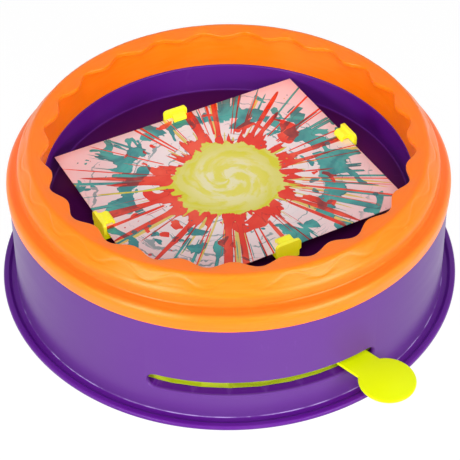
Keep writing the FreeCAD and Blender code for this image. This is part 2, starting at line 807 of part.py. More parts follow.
def toothed_window():
    """The lever's inner gear: an arc-shaped window whose far side carries the teeth."""
    teeth = int(number("arc_teeth"))
    pitch_radius = teeth * number("gear_module") / 2
    half_space = math.pi / (2 * teeth) + number("gear_backlash / 4") / pitch_radius
    root = pitch_radius + number("gear_module * gear_dedendum")
    tip = pitch_radius - number("gear_module * arc_addendum")
    height = number("lever_plate_thickness + 2 * cut_margin")
    space = standard(AXLE_AZIMUTH)
    spaces = gear_disc(teeth, root, tip, half_space, space, height)
    inner = number(f"{AXLE_CIRCLE} - (pinion_teeth / 2 + 1) * gear_module - window_clearance")
    beyond = root + number("cut_margin")
    tooth = 2 * math.pi / teeth
    start = space - (spaces_before() + 0.5) * tooth
    end = space + (spaces_after() + 0.5) * tooth
    edges = [
        arc(inner, start, end),
        Part.makeLine(at(inner, end), at(beyond, end)),
        arc(beyond, end, start),
        Part.makeLine(at(beyond, start), at(inner, start)),
    ]
    window = Part.Face(Part.Wire(edges)).extrude(Vector(0, 0, height)).common(spaces)
    window.translate(Vector(0, 0, number("lever_plate_bottom - cut_margin")))
    return shape_node("lever_window", window)


def spaces_before():
    """Tooth spaces that the window needs on the rest side of the axle."""
    reach = math.degrees(math.asin(number(f"(pinion_teeth / 2 + 1) * gear_module / ({AXLE_CIRCLE})")))
    return math.ceil((reach + 1) * number("arc_teeth") / 360)


def spaces_after():
    """Tooth spaces that the window needs on the other side, for the whole swing."""
    return spaces_before() + math.ceil(number("lever_swing * arc_teeth / 360"))


def lever_return_spring():
    """Torsion spring round the post, one leg against the base plate's peg and one against the lever's."""
    coil_radius = number("spring_coil_radius")
    wire = number("spring_wire_radius")
    height = number("spring_pitch * spring_turns")
    path = Part.Wire(Part.makeHelix(number("spring_pitch"), height, coil_radius))
    section = Part.Wire(Part.Circle(Vector(coil_radius, 0, 0), Vector(0, 1, 0), wire).toShape())
    coil = path.makePipeShell([section], True, True)
    legs = []
    for turn, lift in ((0, 0), (math.radians(360 * number("spring_turns")), height)):
        start = at(coil_radius - wire, turn) + Vector(0, 0, lift)
        legs.append(Part.makeCylinder(wire, number("spring_leg + spring_wire_radius"), start, at(1, turn)))
    spring = coil.fuse(legs)
    spring.rotate(Vector(), Vector(0, 0, 1), number(SPRING_START))
    spring.translate(Vector(0, 0, number(f"{BASE_TOP} + spring_wire_radius + running_gap")))
    return shape_node("lever_return_spring", spring)


# ---------------------------------------------------------------- turntable, clips and card


def turntable():
    """Cross-shaped platform: a disc on a hub, with four hollow arms that guide the clips."""
    body = new_body("turntable")
    round_pad(body, "turntable_disc_radius", "turntable_top - turntable_plate", "turntable_top")
    round_pad(body, "turntable_hub_radius", "turntable_hub_bottom", "turntable_top - turntable_plate")
    for turn, edge in CARD_SIDES:
        sketch = sketch_on(body, "XY_Plane", "turntable_top - arm_height", turn=turn)
        end = f"{edge} - arm_end_inset"
        rectangle(sketch, "turntable_hub_radius", end, "-arm_width / 2", "arm_width / 2")
        pad(body, sketch, "arm_height")
    for turn, edge in CARD_SIDES:
        sketch = sketch_on(body, "YZ_Plane", turn=turn, reach=f"{edge} - tongue_length - seat_gap")
        half = "tongue_width / 2 + clip_gap"
        low, high = "tongue_bottom - seat_gap", "tongue_bottom + tongue_height + seat_gap"
        rectangle(sketch, f"-({half})", half, low, high)
        pocket_up(body, sketch, "tongue_length + seat_gap")
    round_pocket(body, "spindle_radius", "turntable_hub_bottom", "spindle_top")
    round_pocket(body, "hub_screw_radius", "spindle_top", "turntable_top")
    round_pocket(body, "hub_screw_head_radius + seat_gap", HUB_SCREW_SEAT, "turntable_top")
    return body


def turntable_screw():
    """Screw that holds the turntable down on the spindle, its head below the card."""
    head = ("hub_screw_head_radius", "hub_screw_head_height")
    shank = ("hub_screw_radius", "hub_screw_length")
    return pan_head_screw("turntable_screw", "0", "0", HUB_SCREW_SEAT, "-1", head, shank)


def card_clip(label, turn, edge):
    """Yellow clip: a tongue that slides in the arm, an upright plate and a hood over the card."""
    body = new_body(label)
    inner = f"{edge} + clip_gap"
    outer = f"{inner} + clip_plate"
    card_top = "turntable_top + card_thickness"
    shoulder = f"{card_top} + clip_shoulder"
    crest = f"{card_top} + clip_rise"
    tip = f"{edge} - clip_reach"
    tongue_top = "tongue_bottom + tongue_height"
    sections = [
        ("tongue_width", [
            (f"{edge} - tongue_length", "tongue_bottom"),
            (outer, "tongue_bottom"),
            (outer, tongue_top),
            (f"{edge} - tongue_length", tongue_top),
        ]),
        ("clip_width", [
            (inner, "tongue_bottom"),
            (outer, "tongue_bottom"),
            (outer, shoulder),
            (inner, shoulder),
        ]),
        ("clip_hood_width", [
            (inner, f"{card_top} + clip_gap"),
            (outer, f"{card_top} + clip_gap"),
            (outer, f"{crest} - clip_hood_round"),
            (inner, crest),
            (f"{tip} + clip_hood_round", crest),
            (tip, f"{crest} - clip_hood_round"),
            (tip, f"{card_top} + clip_gap"),
        ]),
    ]
    for width, corners in sections:
        sketch = sketch_on(body, "XZ_Plane", turn=turn)
        outline(sketch, corners)
        layer = pad(body, sketch, width)
        layer.Midplane = True
    return body


def paint_card():
    """Sheet of card on the turntable."""
    body = new_body("paint_card")
    sketch = sketch_on(body, "XY_Plane", "turntable_top", turn=TABLE_TURN)
    rectangle(sketch, "-card_length / 2", "card_length / 2", "-card_width / 2", "card_width / 2")
    pad(body, sketch, "card_thickness")
    return body


CARD_SIDES = [
    (f"{TABLE_TURN} + {90 * k}", "card_length / 2" if k % 2 == 0 else "card_width / 2") for k in range(4)
]
CLIP_NAMES = ("card_clip_right", "card_clip_back", "card_clip_left", "card_clip_front")


# ---------------------------------------------------------------- build, check and write

nodes = [
    housing(),
    splash_guard(),
    base_plate(),
    *base_screws(),
    spindle(),
    lower_bush(),
    upper_bush(),
    spindle_clip(),
    thrust_washer(),
    compound_gear(),
    gear_axle(),
    clutch_gear(),
    pawl_carrier(),
    lever(),
    lever_return_spring(),
    turntable(),
    turntable_screw(),
    *[card_clip(name, turn, edge) for name, (turn, edge) in zip(CLIP_NAMES, CARD_SIDES)],
    paint_card(),
]
doc.recompute()

for made in doc.Objects:
    if "Invalid" in made.State or "Error" in made.State:
        raise RuntimeError(f"{made.Label} failed: {made.State}")
for node in nodes:
    if node.Shape.isNull() or not node.Shape.isValid():
        raise RuntimeError(f"{node.Label} has no valid shape")
    node.Shape.exportStep(f"parts/{node.Label}.step")
    print(node.Label, len(node.Shape.Solids), "solid", round(node.Shape.Volume), "mm3")
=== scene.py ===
import math

import bpy
from mathutils import Matrix, Vector


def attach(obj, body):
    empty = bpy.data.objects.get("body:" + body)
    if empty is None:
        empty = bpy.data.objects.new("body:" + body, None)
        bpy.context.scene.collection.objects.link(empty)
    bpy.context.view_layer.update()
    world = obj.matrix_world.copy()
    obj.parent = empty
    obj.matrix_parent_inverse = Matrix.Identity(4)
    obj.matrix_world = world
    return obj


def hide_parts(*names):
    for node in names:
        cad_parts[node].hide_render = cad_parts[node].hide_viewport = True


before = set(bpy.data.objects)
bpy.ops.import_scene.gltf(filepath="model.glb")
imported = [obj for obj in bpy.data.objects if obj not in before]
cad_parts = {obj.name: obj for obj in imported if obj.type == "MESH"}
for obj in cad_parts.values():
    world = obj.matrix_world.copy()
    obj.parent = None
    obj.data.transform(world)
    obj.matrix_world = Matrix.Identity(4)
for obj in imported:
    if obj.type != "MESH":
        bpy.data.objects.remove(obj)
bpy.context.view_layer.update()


# ---------------------------------------------------------------- base cover
# The lid that closes the machine from below: a purple disc with stiffening rings, six screw
# wells and, inside, the post that carries the spindle. One moulding, held by six screws.

MM = 0.001
STRAIGHT = 178
WELD = MM / 500
SHARP = 32


def rounded(corners, step=math.radians(12)):
    """Points of a closed outline of (x, z, radius), with an arc at each rounded corner."""
    points = []
    for i, (x, z, radius) in enumerate(corners):
        corner = Vector((x, z))
        if radius == 0:
            points.append(corner)
            continue
        back = (Vector(corners[i - 1][:2]) - corner).normalized()
        ahead = (Vector(corners[(i + 1) % len(corners)][:2]) - corner).normalized()
        opening = back.angle(ahead)
        if opening > math.radians(STRAIGHT):
            points.append(corner)
            continue
        reach = radius / math.tan(opening / 2)
        middle = corner + (back + ahead).normalized() * radius / math.sin(opening / 2)
        start, end = corner + back * reach - middle, corner + ahead * reach - middle
        count = max(2, math.ceil((math.pi - opening) / step))
        points += [middle + start.slerp(end, k / count) * radius for k in range(count + 1)]
    return points


def drawn(name, points):
    """Pull one corner round a closed loop of points in millimetres; stays in edit mode."""
    bpy.ops.object.select_all(action="DESELECT")
    bpy.ops.mesh.primitive_plane_add(size=MM)
    piece = bpy.context.object
    piece.name = piece.data.name = name
    bpy.ops.object.mode_set(mode="EDIT")
    bpy.ops.mesh.select_mode(type="VERT")
    bpy.ops.mesh.merge(type="CENTER")
    bpy.ops.transform.translate(value=points[0] * MM)
    for here, there in zip(points, points[1:] + points[:1]):
        bpy.ops.mesh.extrude_region_move(TRANSFORM_OT_translate={"value": (there - here) * MM})
    bpy.ops.mesh.select_all(action="SELECT")
    bpy.ops.mesh.remove_doubles(threshold=WELD)
    return piece


def turned(name, corners, steps=384, start=0.0, angle=math.tau, arc=12):
    """Turn an outline of (radius, height, corner radius) about the spindle's line."""
    outline = rounded(corners, math.radians(arc))
    outline = [Vector((p.x * math.cos(start), p.x * math.sin(start), p.y)) for p in outline]
    piece = drawn(name, outline)
    bpy.ops.mesh.spin(steps=steps, angle=angle, center=(0, 0, 0), axis=(0, 0, -1))
    bpy.ops.mesh.select_all(action="SELECT")
    bpy.ops.mesh.remove_doubles(threshold=WELD)
    if angle < math.tau:
        bpy.ops.mesh.fill_holes(sides=0)
    leave_closed()
    return piece


def leave_closed(sharp=SHARP):
    """Point every face outwards, shade edges past sharp degrees as edges, and leave edit mode."""
    bpy.ops.mesh.select_all(action="SELECT")
    bpy.ops.mesh.normals_make_consistent(inside=False)
    bpy.ops.object.mode_set(mode="OBJECT")
    bpy.ops.object.shade_smooth_by_angle(angle=math.radians(sharp))


def cut(piece, tool, operation="DIFFERENCE"):
    """Cut with a tool piece, or weld it on, and put the tool away."""
    change = piece.modifiers.new("cut", "BOOLEAN")
    change.object = tool
    change.operation = operation
    change.solver = "MANIFOLD"
    bpy.ops.object.select_all(action="DESELECT")
    bpy.context.view_layer.objects.active = piece
    piece.select_set(True)
    bpy.ops.object.modifier_apply(modifier=change.name)
    bpy.data.objects.remove(tool)
    bpy.ops.object.shade_smooth_by_angle(angle=math.radians(SHARP))


def shift(piece, x=0.0, y=0.0, z=0.0, turn=0.0):
    """Move a piece's mesh, in millimetres, after turning it about the spindle's line."""
    piece.data.transform(Matrix.Translation(Vector((x, y, z)) * MM) @ Matrix.Rotation(turn, 4, "Z"))
    return piece


def copied(piece, name):
    """Another of the same piece, with its own mesh."""
    twin = piece.copy()
    twin.data = piece.data.copy()
    twin.name = twin.data.name = name
    bpy.context.scene.collection.objects.link(twin)
    return twin


def joined(piece, others):
    """Make loose parts of one moulding one mesh."""
    bpy.ops.object.select_all(action="DESELECT")
    for other in others:
        other.select_set(True)
    piece.select_set(True)
    bpy.context.view_layer.objects.active = piece
    bpy.ops.object.join()
    return piece


def around(radius, azimuth):
    """x and y of a place, by its azimuth in degrees from the front towards the right."""
    turn = math.radians(azimuth)
    return radius * math.sin(turn), -radius * math.cos(turn)


class Finish:
    """A finish being mixed: the nodes of one material, a step at a time."""

    def __init__(self, name):
        self.material = bpy.data.materials.new(name)
        self.material.use_nodes = True
        self.tree = self.material.node_tree
        self.shader = self.tree.nodes["Principled BSDF"]
        self.place = self.node("ShaderNodeTexCoord").outputs["Object"]

    def node(self, kind, **settings):
        """Put in a node of a kind, with its settings."""
        made = self.tree.nodes.new(kind)
        for key, value in settings.items():
            setattr(made, key, value)
        return made

    def feed(self, socket, value):
        """Link another node's output to a socket, or set its plain value."""
        if isinstance(value, bpy.types.NodeSocket):
            self.tree.links.new(value, socket)
        else:
            socket.default_value = value

    def set(self, **values):
        """Shader sockets by name, such as coat_weight for Coat Weight."""
        names = {s.name.lower().replace(" ", "_"): s for s in self.shader.inputs}
        for name, value in values.items():
            self.feed(names[name], value)

    def work(self, operation, *values):
        """Arithmetic on outputs or plain numbers."""
        made = self.node("ShaderNodeMath", operation=operation)
        for socket, value in zip(made.inputs, values):
            self.feed(socket, value)
        return made.outputs[0]

    def point(self, x, y, z):
        """Three values as one place."""
        made = self.node("ShaderNodeCombineXYZ")
        for socket, value in zip(made.inputs, (x, y, z)):
            self.feed(socket, value)
        return made.outputs[0]

    def height(self):
        """Height above the table."""
        parts = self.node("ShaderNodeSeparateXYZ")
        self.feed(parts.inputs[0], self.place)
        return parts.outputs[2]

    def far_out(self, at=None):
        """Distance from the spindle's line."""
        parts = self.node("ShaderNodeSeparateXYZ")
        self.feed(parts.inputs[0], at or self.place)
        x, y = parts.outputs[0], parts.outputs[1]
        return self.work("SQRT", self.work("ADD", self.work("MULTIPLY", x, x), self.work("MULTIPLY", y, y)))

    def round_about(self, across, upward, along):
        """Coordinates wrapped about the spindle: radius, height and turn, each with its scale."""
        parts = self.node("ShaderNodeSeparateXYZ")
        self.feed(parts.inputs[0], self.place)
        turn = self.work("ARCTAN2", parts.outputs[1], parts.outputs[0])
        return self.point(
            self.work("MULTIPLY", self.far_out(), across),
            self.work("MULTIPLY", parts.outputs[2], upward),
            self.work("MULTIPLY", turn, along),
        )

    def laid(self, scale=(1, 1, 1), turn=0.0):
        """Coordinates stretched by scale and turned about the spindle's line."""
        made = self.node("ShaderNodeMapping")
        self.feed(made.inputs["Vector"], self.place)
        made.inputs["Scale"].default_value = scale
        made.inputs["Rotation"].default_value[2] = turn
        return made.outputs[0]

    def cloud(self, scale, detail=3.0, at=None, rough=0.5, curl=0.0):
        """Noise with scale cells in a metre, or in one unit of other coordinates."""
        made = self.node("ShaderNodeTexNoise")
        self.feed(made.inputs["Vector"], at or self.place)
        for name, value in (("Scale", scale), ("Detail", detail), ("Roughness", rough), ("Distortion", curl)):
            made.inputs[name].default_value = value
        return made.outputs["Fac"]

    def fade(self, value, low, high, start=0.0, end=1.0):
        """From start to end, softly, as a value goes from low to high."""
        made = self.node("ShaderNodeMapRange", interpolation_type="SMOOTHSTEP")
        for socket, item in zip(made.inputs, (value, low, high, start, end)):
            self.feed(socket, item)
        return made.outputs[0]

    def over(self, amount, under, top):
        """One colour laid over another by an amount."""
        made = self.node("ShaderNodeMix", data_type="RGBA")
        self.feed(made.inputs[0], amount)
        self.feed(made.inputs[6], under)
        self.feed(made.inputs[7], top)
        return made.outputs[2]

    def relief(self, height, depth, strength=1.0, under=None):
        """Bumps up to depth millimetres high, laid over others."""
        made = self.node("ShaderNodeBump")
        made.inputs["Strength"].default_value = strength
        made.inputs["Distance"].default_value = depth * MM
        self.feed(made.inputs["Height"], height)
        if under:
            self.feed(made.inputs["Normal"], under)
        return made.outputs[0]

    def worn_edges(self):
        """1 on the edges that stand out, 0 elsewhere."""
        return self.fade(self.node("ShaderNodeNewGeometry").outputs["Pointiness"], 0.53, 0.62)


def seen(red, green, blue):
    """A colour as it looks, 0 to 255, as the linear values that a shader takes."""
    parts = [c / 255 for c in (red, green, blue)]
    return [c / 12.92 if c <= 0.04045 else ((c + 0.055) / 1.055) ** 2.4 for c in parts] + [1.0]


BAND_LOW = 0.7
BAND_FULL = 1.0


def moulded(name, shade, pale, roughness=0.3, gloss=0.4, grain=0.15, milky=0.0,
            reach=(3, 1.2, 0.3), bands=(), painted_glow=0.0, swirl=0.0, worn=0.3):
    """Injection-moulded plastic: cloudy colour, rubbed edges, flow lines and hairline scuffs.

    Each band paints shade or a shine into the colour between two radii: its inner and outer
    radius about the spindle, how soft its edges are, its tint, and whether it is broken up.
    It starts above the foot. The glow is painted light: an emission in the plastic's own
    colour that lifts its shaded sides whatever light falls on them. A swirl is the fine drag of the melt round the
    mould.
    """
    f = Finish(name)

    # colour: the pigment's clouds, the bands of painted shade and shine, rubbed edges and scuffs
    cloud = f.cloud(14, 4)
    scuffs = f.cloud(90, 4, at=f.laid((1, 9, 1), 0.7), curl=0.6)
    scuffs = f.work("MULTIPLY", f.fade(scuffs, 0.64, 0.72), f.fade(f.cloud(22, 1), 0.5, 0.62))
    colour = f.over(f.fade(cloud, 0.35, 0.75, 0.0, 0.1), shade, pale)
    # each band is painted light: painted shade or a painted shine mixed into the colour
    for inner, outer, soft, tint, broken in bands:
        within = f.work("MULTIPLY", f.fade(f.far_out(), inner * MM, (inner + soft) * MM),
                        f.fade(f.far_out(), (outer - soft) * MM, outer * MM, 1.0, 0.0))
        within = f.work("MULTIPLY", within, f.fade(f.height(), BAND_LOW * MM, BAND_FULL * MM))
        amount = f.fade(f.cloud(90, 3), 0.4, 0.62) if broken else f.fade(cloud, 0.3, 0.7, 0.8, 1.0)
        colour = f.over(f.work("MULTIPLY", within, amount), colour, tint)
    colour = f.over(f.work("MULTIPLY", f.worn_edges(), worn), colour, pale)
    colour = f.over(f.work("MULTIPLY", scuffs, 0.06), colour, pale)

    # gloss: duller patches, scuffs and the swirl
    patchy = f.fade(f.cloud(35, 2, at=f.laid((1, 1, 5))), 0.3, 0.7, roughness - 0.02, roughness + 0.02)
    rough = f.work("ADD", patchy, f.work("MULTIPLY", scuffs, 0.1))
    if swirl:
        drag = f.fade(f.cloud(1.0, 3, at=f.round_about(700, 700, 5)), 0.35, 0.7)
        rough = f.work("ADD", rough, f.work("MULTIPLY", drag, 0.3 * swirl))
        colour = f.over(f.work("MULTIPLY", drag, 0.3 * swirl), colour, pale)

    # surface: the mould's fine grain under the swirl and the flow of the melt
    fine = f.relief(f.cloud(2200, 2), 0.02, grain)
    if swirl:
        fine = f.relief(drag, 0.12, swirl, under=fine)
    flow = f.relief(f.cloud(30, 2, at=f.laid((1, 1, 3))), 0.5, 0.12, under=fine)
    f.set(base_color=colour, roughness=rough, normal=flow, specular_ior_level=gloss)
    f.set(specular_tint=[0.45 + 0.55 * c for c in pale[:3]] + [1.0])
    # the glow is painted light: an emission that lifts the plastic's shaded sides
    f.set(subsurface_weight=milky, subsurface_scale=MM, emission_color=shade, emission_strength=painted_glow)
    f.shader.inputs["Subsurface Radius"].default_value = reach
    return f.material


def fitted(piece, body, slot, material, *nodes):
    """Give a finished piece its finish and set it on its body, for the nodes that it stands for."""
    piece.data.materials.clear()
    piece.data.materials.append(material)
    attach(piece, body)
    if nodes:
        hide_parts(*nodes)


def disc(radius, bottom, top, x=0.0, y=0.0, edge=0.0, bore=0.0):
    """A round boss, peg or cutter, its rims eased, with or without a bore."""
    corners = [(bore, bottom, 0), (radius, bottom, edge), (radius, top, edge), (bore, top, 0)]
    return shift(turned("disc", corners, steps=48), x, y)


COVER_RADIUS = 117.8
COVER_UNDER = 0.8
COVER_TOP = 3.2
RING_UNDER = 0.3
RINGS = (22.0, 46.0, 70.0)
SLOT_MIDDLE = 8.65
FRONT_CIRCLE = 84.0
FRONT_SPREAD = 14
BACK_CIRCLE = 100.0
AXLE = around(40.0, SLOT_MIDDLE)
SCREWS = [around(FRONT_CIRCLE, SLOT_MIDDLE + turn) for turn in (-FRONT_SPREAD, FRONT_SPREAD)]
SCREWS += [around(BACK_CIRCLE, SLOT_MIDDLE + turn) for turn in (105, 155, 205, 255)]
SCREW_SEAT = 3.6
WELL_RADIUS = 3.6
SHANK_HOLE = 1.7
BOSS_RADIUS = 5.6
AXLE_BOSS_RADIUS = 5.0

cover_outline = [(0, COVER_UNDER, 0)]
for ring in RINGS:
    cover_outline += [(ring, COVER_UNDER, 0.3), (ring + 0.5, RING_UNDER, 0.2)]
    cover_outline += [(ring + 2.5, RING_UNDER, 0.2), (ring + 3.0, COVER_UNDER, 0.3)]
cover_outline += [
    (112.0, COVER_UNDER, 0.3),
    (112.5, RING_UNDER, 0.3),
    (COVER_RADIUS, RING_UNDER, 0.8),
    (COVER_RADIUS, COVER_TOP, 0.4),
    (12.0, COVER_TOP, 0.8),
    (12.0, 13.2, 0.4),
    (10.0, 13.2, 0.3),
    (10.0, 22.4, 0.4),
    (5.0, 22.4, 0),
    (5.0, 12.4, 0),
    (3.05, 12.4, 0),
    (3.05, 3.6, 0),
    (0, 3.6, 0),
]
cover = turned("base_cover", cover_outline, steps=256)
bosses = [disc(BOSS_RADIUS, 2.0, 6.0, x, y, edge=0.3) for x, y in SCREWS]
bosses.append(disc(AXLE_BOSS_RADIUS, 2.0, 16.6, *AXLE, edge=0.3))
cut(cover, joined(bosses[0], bosses[1:]), "UNION")
for radius, bottom, top in ((WELL_RADIUS, -1.0, SCREW_SEAT), (SHANK_HOLE, SCREW_SEAT - 0.5, 8.0)):
    holes = [disc(radius, bottom, top, x, y) for x, y in SCREWS]
    cut(cover, joined(holes[0], holes[1:]))
cover_plastic = moulded("cover_plastic", seen(78, 34, 108), seen(132, 92, 160), roughness=0.46, grain=0.5, worn=0.0)
fitted(cover, "base", "base_plastic", cover_plastic, "base_plate")


# ---------------------------------------------------------------- base screws
# Six pan-head self-tapping screws, cold-formed with a cross recess and bright zinc plated.
# They go up through the cover into the housing's pillars.

def plated(name, shade, roughness, brush=(1, 1, 1)):
    """Bright metal: a metallic base with fine drawn lines, faint spotting and duller patches."""
    f = Finish(name)
    lines = f.cloud(900, 3, at=f.laid(brush))
    spots = f.fade(f.cloud(260, 3), 0.55, 0.75)
    dark = [c * 0.55 for c in shade[:3]] + [1.0]
    colour = f.over(f.work("MULTIPLY", spots, 0.5), shade, dark)
    rough = f.work("ADD", f.fade(lines, 0.3, 0.7, roughness - 0.06, roughness + 0.08), f.work("MULTIPLY", spots, 0.1))
    f.set(base_color=colour, metallic=1.0, roughness=rough, normal=f.relief(lines, 0.01, 0.5))
    return f.material


zinc = plated("bright_zinc", seen(206, 208, 210), 0.28)
CREST = 1.25
ROOT = 1.0
HEAD = -1.8
THREAD_TOP = 10.4
THREAD_TURNS = 10
CROSS = (3.4, 0.75, 2.2)
SCREW_TURN = 1.1

thread = [(CREST, THREAD_TOP)]
for k in range(THREAD_TURNS):
    thread += [(CREST, THREAD_TOP - k), (ROOT, 10.1 - k), (ROOT, 9.8 - k)]
screw_outline = [(0, HEAD, 0), (2.3, HEAD, 0.8), (3.2, -1.0, 0.5), (3.2, 0, 0.2), (CREST, 0, 0.1)]
screw_outline += [(r, z, 0) for r, z in reversed(thread)] + [(0.2, 12.0, 0), (0, 12.0, 0)]
screw = turned("base_screw", screw_outline, steps=40)
for turn in (0, math.pi / 2):
    bpy.ops.mesh.primitive_cube_add(size=1, location=(0, 0, HEAD * MM))
    slot_tool = bpy.context.object
    slot_tool.data.transform(Matrix.Rotation(turn, 4, "Z") @ Matrix.Diagonal((*[side * MM for side in CROSS], 1)))
    bpy.ops.object.mode_set(mode="EDIT")
    bpy.ops.mesh.select_all(action="SELECT")
    bpy.ops.mesh.bevel(offset=0.12 * MM, segments=2)
    bpy.ops.object.mode_set(mode="OBJECT")
    bpy.ops.object.transform_apply(location=True)
    cut(screw, slot_tool)
for number, (x, y) in enumerate(SCREWS, start=1):
    one = shift(copied(screw, f"screw_{number}"), x, y, SCREW_SEAT, turn=number * SCREW_TURN)
    fitted(one, "base", "steel", zinc, f"base_screw_{number}")
bpy.data.objects.remove(screw)


# ---------------------------------------------------------------- spindle, bearings and gears
# Inside: a ground steel spindle in sintered bronze bushes, a spring-steel clip, washer and
# return spring, and gears and pawls moulded in natural acetal.

def taken_from(node, name):
    """A free copy of a piece of the frame, its faces joined up, to be worked on further."""
    piece = copied(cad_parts[node], name)
    piece.parent = None
    for key in list(piece.keys()):
        del piece[key]
    bpy.ops.object.select_all(action="DESELECT")
    bpy.context.view_layer.objects.active = piece
    piece.select_set(True)
    bpy.ops.object.mode_set(mode="EDIT")
    bpy.ops.mesh.select_all(action="SELECT")
    bpy.ops.mesh.remove_doubles(threshold=WELD)
    bpy.ops.object.mode_set(mode="OBJECT")
    return piece


def inside(material, *nodes):
    """Finish pieces of the frame whose shape is already right."""
    for node in nodes:
        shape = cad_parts[node]
        shape.data.materials.clear()
        shape.data.materials.append(material)


def acetal():
    """Natural acetal: creamy white, slightly waxy, with light passing a little way in."""
    f = Finish("natural_acetal")
    colour = f.over(f.fade(f.cloud(60, 3), 0.4, 0.7), seen(233, 229, 214), seen(245, 242, 232))
    rough = f.fade(f.cloud(200, 2), 0.3, 0.7, 0.34, 0.44)
    f.set(base_color=colour, roughness=rough, subsurface_weight=0.15, normal=f.relief(f.cloud(1500, 2), 0.02, 0.3))
    f.shader.inputs["Subsurface Radius"].default_value = (0.6 * MM, 0.5 * MM, 0.4 * MM)
    f.shader.inputs["Subsurface Scale"].default_value = 1.0
    return f.material


ground_steel = plated("ground_steel", seen(196, 198, 202), 0.2, brush=(1, 1, 30))
bronze = plated("sintered_bronze", seen(186, 138, 84), 0.42)
inside(ground_steel, "spindle", "gear_axle")
inside(zinc, "spindle_clip", "thrust_washer", "lever_return_spring", "turntable_screw")
inside(bronze, "lower_bush", "upper_bush")
creamy = acetal()
inside(creamy, "compound_gear", "clutch_gear")

# The springy pawls are drawn pressed in, as they are while the ratchet's teeth pass them.
RATCHET_CREST = 9.6
PAWL_CLEARANCE = 0.15
pawls = taken_from("pawl_carrier", "pressed_pawls")
cut(pawls, disc(RATCHET_CREST - PAWL_CLEARANCE, 0.0, 60.0), "INTERSECT")
fitted(pawls, "turntable", "gear_plastic", creamy, "pawl_carrier")


# ---------------------------------------------------------------- housing
# One glossy purple moulding: foot flange, slightly leaning wall with the lever's slot, the
# spigot that the guard drops over, and the paint bowl. Six pillars inside take the screws.

FLANGE = 129.0
FLANGE_TOP = 2.6
FOOT = 121.2
DECK = 62.2
LEAN = 2.0
LEAN_START = 2.2
WALL = 2.4
SPIGOT_TOP = 66.4
SLOT_HALF = 27.0
SLOT_LOW = 16.6
SLOT_HIGH = 26.0
LEDGE_HALF = 36
LEDGE_INNER = 112.0
PILOT_HOLE = 1.25
MOULD_INNER = 110.0
MOULD_OUTER = 130.0


def wall_at(height):
    """Radius of the leaning wall's outside."""
    return FOOT - LEAN * (height - LEAN_START) / (DECK - LEAN_START)


housing = turned("housing_shell", [
    (FLANGE, 0, 0.6),
    (FLANGE, FLANGE_TOP, 1.2),
    (125.9, FLANGE_TOP, 0.9),
    (124.6, 1.2, 1.0),
    (FOOT + 0.02, 1.2, 0.8),
    (wall_at(DECK), DECK, 0.5),
    (117.65, DECK, 0),
    (117.65, SPIGOT_TOP, 0.6),
    (115.65, SPIGOT_TOP, 0.6),
    (115.65, DECK, 0.4),
    (101.0, DECK, 1.2),
    (100.4, 44.6, 1.0),
    (22.0, 41.6, 6),
    (8.5, 41.6, 1.2),
    (8.5, 48.0, 0.5),
    (5.0, 48.0, 0),
    (5.0, 36.8, 0),
    (8.5, 36.8, 0.4),
    (8.5, 39.4, 0.8),
    (22.0, 39.4, 4),
    (102.6, 42.8, 2),
    (103.2, 60.0, 1),
    (wall_at(DECK) - WALL, 60.0, 1),
    (FOOT - WALL, LEAN_START, 0.4),
    (FOOT - WALL, 0, 0.4),
])
ledge = turned("ledge", [
    (LEDGE_INNER, SLOT_LOW - 2.0, 0.3),
    (LEDGE_INNER, SLOT_LOW + 0.6, 0),
    (wall_at(SLOT_LOW) - 1.2, SLOT_LOW + 0.6, 0),
    (wall_at(SLOT_LOW) - 1.2, SLOT_LOW - 2.0, 0),
], steps=72, start=math.radians(SLOT_MIDDLE - LEDGE_HALF - 90), angle=math.radians(2 * LEDGE_HALF))
pillars = [disc(4.0, 6.0, 43.2, x, y, edge=0.3, bore=PILOT_HOLE) for x, y in SCREWS]
pillars.append(disc(AXLE_BOSS_RADIUS, 29.0, 40.6, *AXLE, edge=0.3, bore=2.0))

# The slot's mould widens outwards past the wall, so that the slot has an eased rim.
middle = (SLOT_LOW + SLOT_HIGH) / 2
half = (SLOT_HIGH - SLOT_LOW) / 2
slot_mould = turned("slot_mould", [
    (MOULD_INNER, SLOT_LOW, 0),
    (wall_at(SLOT_LOW) - 0.9, SLOT_LOW, 0.8),
    (wall_at(SLOT_LOW) + 1.0, SLOT_LOW - 1.7, 0),
    (MOULD_OUTER, SLOT_LOW - 1.7, 0),
    (MOULD_OUTER, SLOT_HIGH + 1.5, 0),
    (wall_at(SLOT_HIGH) + 0.9, SLOT_HIGH + 1.5, 0),
    (wall_at(SLOT_HIGH) - 0.8, SLOT_HIGH, 0.8),
    (MOULD_INNER, SLOT_HIGH, 0),
], steps=96, start=math.radians(SLOT_MIDDLE - SLOT_HALF - 90), angle=math.radians(2 * SLOT_HALF))
for azimuth in (SLOT_MIDDLE - SLOT_HALF, SLOT_MIDDLE + SLOT_HALF):
    end_mould = turned("slot_end", [
        (0, MOULD_INNER, 0),
        (half, MOULD_INNER, 0),
        (half, wall_at(middle) - 0.9, 0.8),
        (half + 1.6, wall_at(middle) + 1.0, 0),
        (half + 1.6, MOULD_OUTER, 0),
        (0, MOULD_OUTER, 0),
    ], steps=64)
    outwards = Matrix.Rotation(math.radians(azimuth), 4, "Z") @ Matrix.Rotation(math.pi / 2, 4, "X")
    end_mould.data.transform(Matrix.Translation((0, 0, middle * MM)) @ outwards)
    cut(slot_mould, end_mould, "UNION")
cut(housing, ledge, "UNION")
cut(housing, slot_mould)
cut(housing, joined(pillars[0], pillars[1:]), "UNION")
# Painted sheen: the outer wall is paler and greyer, standing in for the white table's reflection in it.
painted_wall_sheen = (118.9, 121.8, 0.3, seen(95, 52, 131), False)
# Painted highlight: a thin, broken light line at the foot of the wall, standing in for the lamps' shine in its
# fillet.
painted_foot_highlight = (121.22, 121.7, 0.12, seen(158, 134, 192), True)
